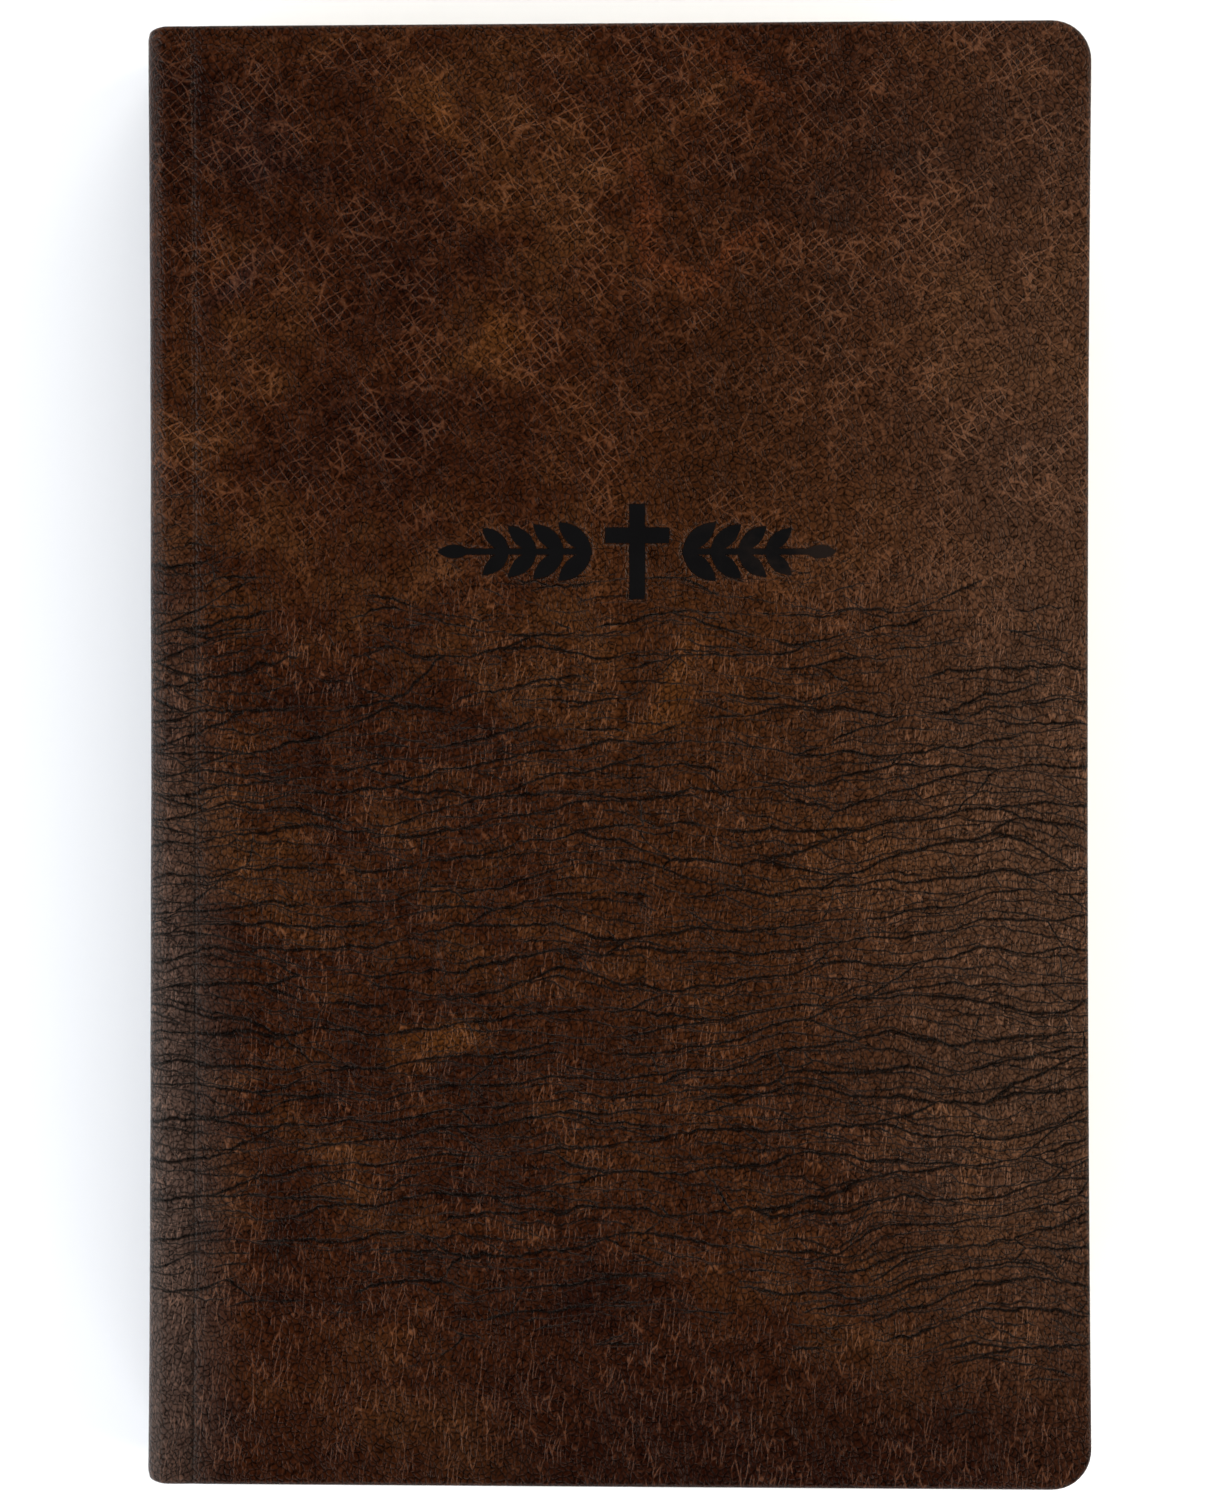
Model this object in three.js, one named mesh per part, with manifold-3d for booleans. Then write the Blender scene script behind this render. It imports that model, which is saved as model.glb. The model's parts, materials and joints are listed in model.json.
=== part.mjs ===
// A thin Bible in a soft imitation-leather cover: sewn text block, flexible case, rounded fore-edge corners.
// Millimetres. +X runs from the spine to the fore edge, +Y from tail to head, +Z from the back cover to the
// front cover. The origin is the centre of the back cover's underside. The book lies closed, front cover up.
import * as THREE from "three";
import { mergeVertices } from "three/addons/utils/BufferGeometryUtils.js";
import Module from "manifold-3d";

const wasm = await Module();
wasm.setup();

// ---- driving dimensions ----
const coverWidth = 140; // spine face to fore edge
const coverHeight = 216; // tail to head
const bookThickness = 25;
const square = 3; // how far the cover overhangs the leaves at head, tail and fore edge
const foreCornerRadius = 6;
const spineCornerRadius = 1.5;
const leafCornerRadius = 4;
const seat = 0.05; // clearance between pieces that lie on each other

const skinThickness = 0.6;
const boardThickness = 0.4;
const turnInThickness = 0.3; // the skin is pared where it is turned in over the board
const turnInWidth = 12;
const endpaperThickness = 0.15;

const jointFromSpine = 7.35; // the pressed joint, where the cover bends
const jointGap = 0.3; // slit between the two pieces that meet at the joint
const jointDepth = 0.3; // how deep the joint is pressed
const jointSlope = 1.2; // width of each side of the pressed groove
const boardFromJoint = 4; // the joint stays soft this far on its cover side

const spineRound = 0.8; // how far the middle of the spine stands out past its edges
const shoulderRadius = 3;
const inlayThickness = 0.5;
const liningThickness = 0.2;
const mullThickness = 0.3;
const glueThickness = 0.3;

const signaturesPerHalf = 12; // 48 pages each
const threadDiameter = 0.3;
const threadStations = 4;
const threadLean = 0.9; // each link stitch leans this far along the spine
const bandTape = 14; // length of a headband's tape, measured down the spine
const bandBead = 1.6; // diameter of its bead
const bandClearance = 0.3; // from the ends of the leaves to the bead

const emblemWidth = 59;
const emblemFromHead = 78; // head of the cover to the emblem's centre
const emblemFromSpine = 72.9; // spine face to the emblem's centre
const emblemDepth = 0.3;
const foilThickness = 0.1;
const foilClearance = 0.1;
const crossHeight = 14;
const crossSpan = 9.4;
const crossStroke = 2.3;
const crossArmRise = 2.4; // the arms sit this far above the middle of the upright
const branchGap = 2; // between the cross's arm and a branch
const stemStroke = 0.9;
const leafPairs = 4; // on each branch
const leafLength = 6.6;
const leafWidth = 2.7;
const leafAngle = 0.72; // between a leaf and the stem, in radians
const leafShrink = 0.93; // each pair is this much of the pair before it

// ---- heights of the front half's layers, from the outside in ----
const middleZ = bookThickness / 2;
const skinLow = bookThickness - skinThickness;
const boardHigh = skinLow - seat;
const boardLow = boardHigh - boardThickness;
const turnInHigh = boardLow - seat;
const turnInLow = turnInHigh - turnInThickness;
const pastedownHigh = turnInLow - seat;
const pastedownLow = pastedownHigh - endpaperThickness;
const flyleafHigh = pastedownLow - seat;
const flyleafLow = flyleafHigh - endpaperThickness;
const leavesHigh = flyleafLow - seat;
const leavesLow = middleZ + seat / 2;
const signaturePitch = (leavesHigh - leavesLow + seat) / signaturesPerHalf;

// ---- depths of the spine's layers behind its outer face ----
const inlayAt = skinThickness + seat;
const liningAt = inlayAt + inlayThickness + seat;
const mullAt = liningAt + liningThickness + seat;
const glueAt = mullAt + mullThickness + seat;
const threadAt = glueAt + glueThickness + seat;
const foldAt = threadAt + threadDiameter + seat;

// ---- places ----
const spineX = -coverWidth / 2;
const foreX = coverWidth / 2;
const headY = coverHeight / 2;
const jointX = spineX + jointFromSpine;
const blockSideX = jointX - jointGap / 2; // where the spine's pieces end at the joint
const coverSideX = jointX + jointGap / 2; // where the cover's pieces begin
const leafForeX = foreX - square;
const leafHeadY = headY - square;
const shoulderLow = bookThickness - shoulderRadius;
const mullRadius = shoulderRadius - skinThickness - seat;
const wallHeadY = headY - skinThickness - seat; // inside the skin's turned edges
const wallForeX = foreX - skinThickness - seat;

// ---- solids ----
function toSolid(geometry) {
  const bare = geometry.index ? geometry.toNonIndexed() : geometry.clone();
  bare.deleteAttribute("normal");
  bare.deleteAttribute("uv");
  const merged = mergeVertices(bare, 1e-4);
  return new wasm.Manifold(
    new wasm.Mesh({
      numProp: 3,
      vertProperties: merged.attributes.position.array,
      triVerts: new Uint32Array(merged.index.array),
    }),
  );
}

function toGeometry(solid) {
  const mesh = solid.getMesh();
  const geometry = new THREE.BufferGeometry();
  geometry.setAttribute("position", new THREE.BufferAttribute(mesh.vertProperties, 3));
  geometry.setIndex(new THREE.BufferAttribute(mesh.triVerts, 1));
  return geometry;
}

const join = (...bodies) => bodies.reduce((all, body) => all.add(body));
const cut = (body, ...tools) => tools.reduce((left, tool) => left.subtract(tool), body);

// A flat outline raised from zLow to zHigh.
function slab(shape, zLow, zHigh, curveSegments = 6) {
  const settings = { depth: zHigh - zLow, bevelEnabled: false, curveSegments };
  return toSolid(new THREE.ExtrudeGeometry(shape, settings).translate(0, 0, zLow));
}

// A section drawn in X and Z, run along Y from yLow to yHigh.
function bar(section, yLow, yHigh, curveSegments = 6) {
  const settings = { depth: yHigh - yLow, bevelEnabled: false, curveSegments };
  const geometry = new THREE.ExtrudeGeometry(section, settings);
  return toSolid(geometry.rotateX(Math.PI / 2).translate(0, yHigh, 0));
}

// A round cord along a path, with flat ends.
function rope(path, diameter, steps, curveSegments) {
  const section = new THREE.Shape().absarc(0, 0, diameter / 2, 0, 2 * Math.PI);
  return toSolid(new THREE.ExtrudeGeometry(section, { steps, curveSegments, extrudePath: path }));
}

function polygon(...points) {
  return new THREE.Shape(points.map(([x, y]) => new THREE.Vector2(x, y)));
}

// A leaf or board: a rectangle whose two fore-edge corners are rounded.
function leafOutline(xLow, xHigh, yHalf, radius) {
  const shape = new THREE.Shape();
  shape.moveTo(xLow, yHalf);
  shape.lineTo(xLow, -yHalf);
  shape.absarc(xHigh - radius, radius - yHalf, radius, -Math.PI / 2, 0);
  shape.absarc(xHigh - radius, yHalf - radius, radius, 0, Math.PI / 2);
  return shape;
}

// The same with its two spine corners rounded instead.
function spineOutline(xLow, xHigh, yHalf, radius) {
  const shape = new THREE.Shape();
  shape.moveTo(xHigh, -yHalf);
  shape.lineTo(xHigh, yHalf);
  shape.absarc(xLow + radius, yHalf - radius, radius, Math.PI / 2, Math.PI);
  shape.absarc(xLow + radius, radius - yHalf, radius, Math.PI, 1.5 * Math.PI);
  return shape;
}

// ---- the rounded spine ----
// X of the spine's rounded surface at a height, at a depth behind its outer face.
function roundX(depth, z) {
  return spineX + depth + spineRound * ((z - middleZ) / middleZ) ** 2;
}

// Draws that surface from one height to another. It is a parabola, which a quadratic curve follows exactly.
function alongSpine(shape, depth, zTo, zFrom) {
  const slope = (2 * spineRound * (zFrom - middleZ)) / middleZ ** 2;
  const bendX = roundX(depth, zFrom) + (slope * (zTo - zFrom)) / 2;
  shape.quadraticCurveTo(bendX, (zFrom + zTo) / 2, roundX(depth, zTo), zTo);
}

// X of the mull's inner face, which the leaves, the glue and the thread follow round the shoulder.
function mullInnerX(z) {
  const depth = mullAt + mullThickness;
  const centreZ = skinLow - seat - mullRadius;
  if (z <= centreZ) return roundX(depth, z);
  const inner = mullRadius - mullThickness;
  const rise = Math.min(z - centreZ, inner);
  return roundX(depth, centreZ) + inner - Math.sqrt(inner ** 2 - rise ** 2);
}

function blockX(depth, z) {
  return mullInnerX(z) + depth - mullAt - mullThickness;
}

// Section of a flat layer on one half of the spine, up to the shoulder.
function spineStrip(depth, thickness, zHigh = shoulderLow - seat) {
  const shape = new THREE.Shape();
  shape.moveTo(roundX(depth + thickness, leavesLow), leavesLow);
  alongSpine(shape, depth + thickness, zHigh, leavesLow);
  shape.lineTo(roundX(depth, zHigh), zHigh);
  alongSpine(shape, depth, leavesLow, zHigh);
  return shape;
}

// Section of a layer that goes up one half of the spine and over the shoulder as far as the joint.
function spineWrap(depth, thickness, zHigh, radius) {
  const centreZ = zHigh - radius;
  const centreX = roundX(depth, centreZ) + radius;
  const shape = new THREE.Shape();
  shape.moveTo(centreX, zHigh);
  shape.absarc(centreX, centreZ, radius, Math.PI / 2, Math.PI);
  alongSpine(shape, depth, leavesLow, centreZ);
  shape.lineTo(roundX(depth + thickness, leavesLow), leavesLow);
  alongSpine(shape, depth + thickness, centreZ, leavesLow);
  shape.absarc(centreX, centreZ, radius - thickness, Math.PI, Math.PI / 2, true);
  shape.lineTo(blockSideX, zHigh - thickness);
  shape.lineTo(blockSideX, zHigh);
  return shape;
}

// ---- case ----
// The groove pressed into the skin along the joint, from head to tail.
function jointGroove() {
  const section = polygon(
    [blockSideX - jointSlope, bookThickness],
    [jointX, bookThickness - jointDepth],
    [coverSideX + jointSlope, bookThickness],
    [jointX, bookThickness + jointDepth],
  );
  return bar(section, -coverHeight, coverHeight);
}

// The skin over one board: an outer sheet, its edges, and the turn-ins that hold the board. It is open
// towards the joint.
function coverSkin() {
  const openX = coverSideX - boardFromJoint;
  const cornerRadius = foreCornerRadius - skinThickness;
  const body = leafOutline(coverSideX, foreX, headY, foreCornerRadius);
  const boardSpace = leafOutline(openX, foreX - skinThickness, headY - skinThickness, cornerRadius);
  const window = leafOutline(openX, foreX - turnInWidth, headY - turnInWidth, skinThickness);
  return cut(
    slab(body, turnInLow, bookThickness),
    slab(boardSpace, turnInHigh, skinLow),
    slab(window, turnInLow - seat, turnInHigh + seat),
    jointGroove(),
  );
}

function board() {
  const cornerRadius = foreCornerRadius - skinThickness - seat;
  return slab(leafOutline(jointX + boardFromJoint, wallForeX, wallHeadY, cornerRadius), boardLow, boardHigh);
}

// One half of the skin over the spine and its shoulder. Its ends are turned in over the inlay.
function spineSkin() {
  const outer = bar(spineWrap(0, skinThickness, bookThickness, shoulderRadius), -headY, headY, 8);
  const ends = [-1, 1].map((end) => {
    const edge = spineStrip(skinThickness / 2, mullAt - seat - skinThickness / 2);
    const flap = spineStrip(liningAt, liningThickness);
    const [near, far] = [headY - turnInWidth, headY - skinThickness].map((y) => y * end);
    const tip = headY * end;
    return join(
      bar(edge, Math.min(far, tip), Math.max(far, tip)),
      bar(flap, Math.min(near, tip), Math.max(near, tip)),
    );
  });
  const plan = slab(spineOutline(spineX, foreX, headY, spineCornerRadius), 0, bookThickness);
  return cut(join(outer, ...ends).intersect(plan), jointGroove());
}

function spineInlay() {
  return bar(spineStrip(inlayAt, inlayThickness), -wallHeadY, wallHeadY);
}

function spineLining() {
  const reach = headY - turnInWidth - seat;
  return bar(spineStrip(liningAt, liningThickness), -reach, reach);
}

function mull() {
  const reach = leafHeadY - bandTape - seat;
  return bar(spineWrap(mullAt, mullThickness, skinLow - seat, mullRadius), -reach, reach, 5);
}

// The glue follows the back of the leaves, so it reaches round the shoulder as far as the first folds do.
function spineGlue() {
  const steps = 2 * signaturesPerHalf;
  const [outer, inner] = [[], []];
  for (let i = 0; i <= steps; i++) {
    const z = leavesLow + ((leavesHigh - leavesLow) * i) / steps;
    outer.push([blockX(glueAt, z), z]);
    inner.unshift([blockX(glueAt + glueThickness, z), z]);
  }
  return bar(polygon(...outer, ...inner), -leafHeadY, leafHeadY);
}

// ---- endpapers ----
// One sheet, folded at the spine: the fold is tipped on to the first leaves, and the two sides that go on
// from the joint are the pastedown and the flyleaf.
function endpaperFold() {
  const foldX = blockX(foldAt, pastedownHigh);
  const section = polygon(
    [blockSideX, pastedownHigh],
    [foldX, pastedownHigh],
    [foldX, flyleafLow],
    [blockSideX, flyleafLow],
    [blockSideX, flyleafHigh],
    [foldX + endpaperThickness, flyleafHigh],
    [foldX + endpaperThickness, pastedownLow],
    [blockSideX, pastedownLow],
  );
  return bar(section, -leafHeadY, leafHeadY);
}

function endpaperSide(zLow, zHigh) {
  return slab(leafOutline(coverSideX, leafForeX, leafHeadY, leafCornerRadius), zLow, zHigh);
}

// ---- text block ----
// One folded gathering of leaves. place counts from the cover to the middle of the book.
function signature(place) {
  const zHigh = leavesHigh - place * signaturePitch;
  const zLow = zHigh - signaturePitch + seat;
  const fold = (zHigh - zLow) / 2;
  const z = zLow + fold;
  const centreX = blockX(foldAt, z) + fold;
  const edgeX = leafForeX - spineRound + roundX(0, z) - spineX; // the fore edge is as hollow as the spine is round
  const section = new THREE.Shape();
  section.moveTo(edgeX, zLow);
  section.lineTo(edgeX, zHigh);
  section.absarc(centreX, z, fold, Math.PI / 2, 1.5 * Math.PI);
  const plan = slab(leafOutline(spineX, edgeX, leafHeadY, leafCornerRadius), zLow - seat, zHigh + seat);
  return bar(section, -leafHeadY, leafHeadY, 4).intersect(plan);
}

// A path up one half of the text block's back, stepping aside by lean at every other point.
function backPath(depth, y, lean, zLow, zHigh, count) {
  const points = [];
  for (let i = 0; i <= count; i++) {
    const z = zLow + ((zHigh - zLow) * i) / count;
    points.push(new THREE.Vector3(blockX(depth, z), y + (i % 2 ? lean : 0), z));
  }
  return new THREE.CatmullRomCurve3(points);
}

// One row of link stitches, which runs from fold to fold.
function sewingThread(station) {
  const spacing = (2 * leafHeadY) / (threadStations + 1);
  const y = (station - (threadStations - 1) / 2) * spacing - threadLean / 2;
  const [zLow, zHigh] = [leavesLow + threadDiameter, leavesHigh - signaturePitch / 2];
  const path = backPath(threadAt + threadDiameter / 2, y, threadLean, zLow, zHigh, signaturesPerHalf);
  return rope(path, threadDiameter, 2 * signaturesPerHalf, 3);
}

// A cloth tape glued to the back of the leaves, with a round bead that stands past their ends.
function band(end) {
  const beadY = leafHeadY + bandClearance + bandBead / 2;
  const bead = rope(backPath(mullAt + bandBead / 2, beadY, 0, leavesLow, leavesHigh, 4), bandBead, 4, 4);
  const tape = bar(spineStrip(mullAt, mullThickness), leafHeadY - bandTape, beadY);
  return join(tape, bead).transform([1, 0, 0, 0, 0, end, 0, 0, 0, 0, 1, 0, 0, 0, 0, 1]);
}

// ---- emblem ----
// A plain cross between two leafy branches. grow widens every stroke, which gives the recess for the foil.
function emblemPress(shape, zLow, zHigh) {
  return slab(shape, zLow, zHigh, 4).translate([spineX + emblemFromSpine, headY - emblemFromHead, 0]);
}

function centredBox(x, y, width, height) {
  const [w, h] = [width / 2, height / 2];
  return polygon([x - w, y - h], [x + w, y - h], [x + w, y + h], [x - w, y + h]);
}

function cross(grow, zLow, zHigh) {
  const stroke = crossStroke + 2 * grow;
  return join(
    emblemPress(centredBox(0, 0, stroke, crossHeight + 2 * grow), zLow, zHigh),
    emblemPress(centredBox(0, crossArmRise, crossSpan + 2 * grow, stroke), zLow, zHigh),
  );
}

// hand is 1 for the branch to the right of the cross and -1 for the one to the left.
function branch(hand, grow, zLow, zHigh) {
  const inner = crossSpan / 2 + branchGap;
  const outer = emblemWidth / 2;
  const stem = centredBox((hand * (inner + outer - leafLength / 2)) / 2, 0,
    outer - leafLength / 2 - inner + 2 * grow, stemStroke + 2 * grow);
  const leaf = (x, size, turn) => {
    const [length, width] = [leafLength * size + 4 * grow, leafWidth * size + 2 * grow];
    const points = new THREE.Shape()
      .moveTo(-2 * grow, 0)
      .quadraticCurveTo(length / 2, width, length - 2 * grow, 0)
      .quadraticCurveTo(length / 2, -width, -2 * grow, 0)
      .getPoints(8)
      .map((point) => point.rotateAround(new THREE.Vector2(), turn));
    return emblemPress(polygon(...points.map((point) => [hand * (x + point.x), point.y])), zLow, zHigh);
  };
  const solids = [emblemPress(stem, zLow, zHigh), leaf(outer - leafLength * leafShrink ** leafPairs,
    leafShrink ** leafPairs, 0)];
  const pitch = (outer - leafLength - inner) / leafPairs;
  for (let i = 0; i < leafPairs; i++) {
    const size = leafShrink ** i;
    solids.push(leaf(inner + i * pitch, size, leafAngle), leaf(inner + i * pitch, size, -leafAngle));
  }
  return join(...solids);
}

// ---- materials ----
const finish = (color, roughness) => new THREE.MeshStandardMaterial({ color, roughness, metalness: 0 });
const leather = finish(0x3a2014, 0.55);
const card = finish(0x8f8468, 0.95);
const endpaper = finish(0xe9e2d0, 0.9);
const pagePaper = finish(0xf1ead8, 0.9);
const liningPaper = finish(0xa88c62, 0.9);
const mullCloth = finish(0xdcd6c4, 1);
const driedGlue = finish(0xd9cfa8, 0.4);
const linenThread = finish(0xf2efe6, 0.8);
const bandCloth = finish(0x5b2f1b, 0.8);
const foil = finish(0x0b0908, 0.35);

// ---- assembly ----
const book = new THREE.Group();

function addPiece(name, solid, material) {
  const mesh = new THREE.Mesh(toGeometry(solid), material.clone());
  mesh.name = name;
  book.add(mesh);
}

// Every layer is drawn for the front half. The back half is its mirror image in the middle of the book.
const toBack = [1, 0, 0, 0, 0, 1, 0, 0, 0, 0, -1, 0, 0, 0, bookThickness, 1];
for (const side of ["front", "back"]) {
  const isFront = side === "front";
  const add = (name, solid, material) => addPiece(name, isFront ? solid : solid.transform(toBack), material);
  const recess = (form) => form(foilClearance, bookThickness - emblemDepth, bookThickness + 1);
  const recesses = [
    recess(cross),
    recess((...sizes) => branch(-1, ...sizes)),
    recess((...sizes) => branch(1, ...sizes)),
  ];
  add(`${side}_cover_skin`, isFront ? cut(coverSkin(), ...recesses) : coverSkin(), leather);
  add(`${side}_board`, board(), card);
  add(`${side}_pastedown`, endpaperSide(pastedownLow, pastedownHigh), endpaper);
  add(`${side}_flyleaf`, endpaperSide(flyleafLow, flyleafHigh), endpaper);
  add(`${side}_endpaper_fold`, endpaperFold(), endpaper);
  add(`${side}_spine_skin`, spineSkin(), leather);
  add(`${side}_spine_inlay`, spineInlay(), card);
  add(`${side}_spine_lining`, spineLining(), liningPaper);
  add(`${side}_mull`, mull(), mullCloth);
  add(`${side}_spine_glue`, spineGlue(), driedGlue);
  add(`${side}_head_band`, band(1), bandCloth);
  add(`${side}_tail_band`, band(-1), bandCloth);
  for (let station = 0; station < threadStations; station++) {
    add(`${side}_sewing_thread_${station + 1}`, sewingThread(station), linenThread);
  }
  for (let place = 0; place < signaturesPerHalf; place++) {
    const number = isFront ? place + 1 : 2 * signaturesPerHalf - place;
    add(`signature_${String(number).padStart(2, "0")}`, signature(place), pagePaper);
  }
}

const foilHigh = bookThickness - emblemDepth + seat + foilThickness;
addPiece("emblem_cross", cross(0, foilHigh - foilThickness, foilHigh), foil);
addPiece("emblem_branch_left", branch(-1, 0, foilHigh - foilThickness, foilHigh), foil);
addPiece("emblem_branch_right", branch(1, 0, foilHigh - foilThickness, foilHigh), foil);

export default book;
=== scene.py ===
"""A thin Bible in a soft brown cover. The frame gives every place; lengths are in millimetres."""

import json
import math

import bpy
import numpy as np
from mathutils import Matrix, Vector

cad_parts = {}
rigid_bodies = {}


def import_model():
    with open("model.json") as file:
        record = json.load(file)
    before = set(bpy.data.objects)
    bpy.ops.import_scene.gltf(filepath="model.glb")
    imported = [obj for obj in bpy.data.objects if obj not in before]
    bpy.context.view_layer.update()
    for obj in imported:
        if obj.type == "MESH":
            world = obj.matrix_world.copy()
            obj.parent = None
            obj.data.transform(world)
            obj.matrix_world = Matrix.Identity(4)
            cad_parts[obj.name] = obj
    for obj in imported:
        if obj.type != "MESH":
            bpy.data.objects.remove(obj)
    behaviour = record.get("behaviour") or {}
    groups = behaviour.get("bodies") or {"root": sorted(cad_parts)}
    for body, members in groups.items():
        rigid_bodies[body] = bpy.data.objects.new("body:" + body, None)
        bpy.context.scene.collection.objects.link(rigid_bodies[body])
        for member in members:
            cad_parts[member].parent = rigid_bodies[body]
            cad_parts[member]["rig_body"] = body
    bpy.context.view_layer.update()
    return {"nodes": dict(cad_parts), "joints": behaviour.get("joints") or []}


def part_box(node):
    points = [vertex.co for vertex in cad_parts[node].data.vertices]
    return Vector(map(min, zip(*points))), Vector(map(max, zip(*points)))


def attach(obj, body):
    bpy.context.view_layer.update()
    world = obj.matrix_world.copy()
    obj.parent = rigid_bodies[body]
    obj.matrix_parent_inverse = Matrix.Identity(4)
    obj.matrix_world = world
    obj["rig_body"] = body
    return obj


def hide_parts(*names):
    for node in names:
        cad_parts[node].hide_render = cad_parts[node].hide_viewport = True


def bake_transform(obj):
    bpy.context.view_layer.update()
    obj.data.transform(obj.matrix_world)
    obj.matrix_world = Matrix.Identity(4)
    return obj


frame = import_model()
nodes = frame["nodes"]
random = np.random.default_rng(20)

MM = 0.001


def box(node):
    low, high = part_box(node)
    return np.array(low) / MM, np.array(high) / MM


# ---- places, from the frame ----
cover_low, cover_high = box("front_cover_skin")
spine_low, spine_high = box("front_spine_skin")
SPINE_X, FORE_X = spine_low[0], cover_high[0]
HEAD_Y = cover_high[1]
TOP_Z = cover_high[2]
MIDDLE_Z = TOP_Z / 2
JOINT_X = (spine_high[0] + cover_low[0]) / 2
EDGE_RADIUS = (TOP_Z - cover_low[2]) / 2
LEAF_HEAD_Y = box("signature_01")[1][1]
LEAF_FORE_X = box("front_flyleaf")[1][0]
emblem_boxes = [box(name) for name in nodes if name.startswith("emblem_")]
press_low = np.minimum.reduce([low for low, high in emblem_boxes])
press_high = np.maximum.reduce([high for low, high in emblem_boxes])

# ---- sizes the frame's boxes don't give ----
SPINE_ROUND = 0.8
SHOULDER = 3.0
CORNER = 6.0
SPINE_CORNER = 1.5
LEAF_CORNER = 4.0
SKIN = 0.5  # thickness of the leather
TURN_IN = 0.24  # thickness of its turned-in edge
TURN_IN_REACH = 10.8
BOW = (0.4, 0.6)  # how far the spine side and the fore edge bow in at mid height
FLARE = 0.0045  # how much taller the cover is at its fore edge, as a share
SEAM_Z = 20.5  # height at which the cover's leather meets the spine's
PRESSED = 0.30  # depth of the stamped emblem
BEND_FRONT, BEND_BACK = 1.2, 2.5  # widths of the finely spaced bands where the endpapers cross the covers' joints
BEND_GUTTER = 8.0  # distance to each side of the gutter's pivot; the end points worked out from it are not used

# s runs along the cover's section and equals x on its flat top; q is y
SHOULDER_X = SPINE_X + SPINE_ROUND * ((TOP_Z - SHOULDER - MIDDLE_Z) / MIDDLE_Z) ** 2 + SHOULDER
SHOULDER_S = SHOULDER_X - SHOULDER * math.pi / 2
MIDDLE_S = SHOULDER_S - (TOP_Z - SHOULDER - MIDDLE_Z)
SEAM_S = SHOULDER_S - (TOP_Z - SHOULDER - SEAM_Z)
CORNER_S, CORNER_Q = FORE_X - CORNER, HEAD_Y - CORNER
FLAT = CORNER - EDGE_RADIUS


# ---- node trees ----
class Nodes:
    """Builds one node tree with short calls."""

    dimensions = "3D"

    def __init__(self, tree):
        self.tree = tree
        tree.nodes.clear()

    def make(self, kind, inputs=None, **settings):
        node = self.tree.nodes.new("ShaderNode" + kind)
        for key, value in settings.items():
            setattr(node, key, value)
        for key, value in (inputs or {}).items():
            socket = node.inputs[key]
            if isinstance(value, bpy.types.NodeSocket):
                self.tree.links.new(value, socket)
            elif socket.type == "RGBA" and len(value) == 3:
                socket.default_value = (*value, 1)
            else:
                socket.default_value = value
        return node

    def math(self, operation, a, b=0.0, clamp=False):
        return self.make("Math", {0: a, 1: b}, operation=operation, use_clamp=clamp).outputs[0]

    def add(self, a, b):
        return self.math("ADD", a, b)

    def less(self, a, b):
        return self.math("SUBTRACT", a, b)

    def times(self, a, b):
        return self.math("MULTIPLY", a, b)

    def step(self, value, start, end, low=0.0, high=1.0):
        """low before start and high after end, smooth between. start may be above end."""
        names = ("Value", "From Min", "From Max", "To Min", "To Max")
        inputs = dict(zip(names, (value, start, end, low, high)))
        return self.make("MapRange", inputs, interpolation_type="SMOOTHSTEP").outputs[0]

    def cells(self, vector, size, turn=0.0, at=(0.0, 0.0)):
        """Coordinates in which a cell of that size, turned by that many degrees, is 1 across."""
        size = (*size, 1.0) if len(size) == 2 else size
        inputs = {"Vector": vector, "Location": (*at, 0.0), "Scale": size}
        inputs["Rotation"] = (0, 0, math.radians(turn))
        return self.make("Mapping", inputs, vector_type="TEXTURE").outputs[0]

    def noise(self, vector, detail=2.0, roughness=0.5, output=0):
        inputs = {"Vector": vector, "Scale": 1.0, "Detail": detail, "Roughness": roughness}
        return self.make("TexNoise", inputs, noise_dimensions=self.dimensions).outputs[output]

    def edges(self, vector):
        """Distance to the nearest border between cells."""
        inputs = {"Vector": vector, "Scale": 1.0, "Randomness": 1.0}
        settings = {"voronoi_dimensions": self.dimensions, "feature": "DISTANCE_TO_EDGE"}
        return self.make("TexVoronoi", inputs, **settings).outputs[0]

    def vector(self, operation, a, b, output=0):
        return self.make("VectorMath", {0: a, 1: b}, operation=operation).outputs[output]

    def scale(self, a, factor):
        return self.make("VectorMath", {0: a, "Scale": factor}, operation="SCALE").outputs[0]

    def warp(self, vector, size, amount):
        """The coordinates, pushed about by a noise of that size."""
        push = self.noise(self.cells(vector, (size, size)), 2.0, output=1)
        push = self.vector("SUBTRACT", push, (0.5, 0.5, 0.5))
        return self.vector("ADD", vector, self.scale(push, 2 * amount))

    def parts(self, vector):
        return self.make("SeparateXYZ", {0: vector}).outputs

    def mix(self, factor, a, b, blend="MIX"):
        inputs = {0: factor, 6: a, 7: b}
        return self.make("Mix", inputs, data_type="RGBA", blend_type=blend).outputs[2]

    def ramp(self, value, stops):
        node = self.make("ValToRGB", {0: value})
        elements = node.color_ramp.elements
        for position, color in stops[2:]:
            elements.new(position)
        for element, (position, color) in zip(elements, stops):
            element.position = position
            element.color = (*color, 1)
        return node.outputs[0]

    def grey(self, value):
        return self.make("CombineColor", {0: value, 1: value, 2: value}).outputs[0]


VIEWPORT_COLOR = (0.3, 0.2, 0.15, 1)


def material(name, build, **constants):
    """A material. build(n) gives its colour, roughness and height in mm; constants go on the shader."""
    made = bpy.data.materials.new(name)
    made.use_nodes = True
    n = Nodes(made.node_tree)
    color, roughness, height = build(n)
    bump = n.make("Bump", {"Strength": 1.0, "Distance": MM, "Height": height}).outputs[0]
    inputs = {"Base Color": color, "Roughness": roughness, "Normal": bump}
    inputs.update({key.replace("_", " "): value for key, value in constants.items()})
    shader = n.make("BsdfPrincipled", inputs)
    n.make("OutputMaterial", {0: shader.outputs[0]})
    made.diffuse_color = VIEWPORT_COLOR
    return made


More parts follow.
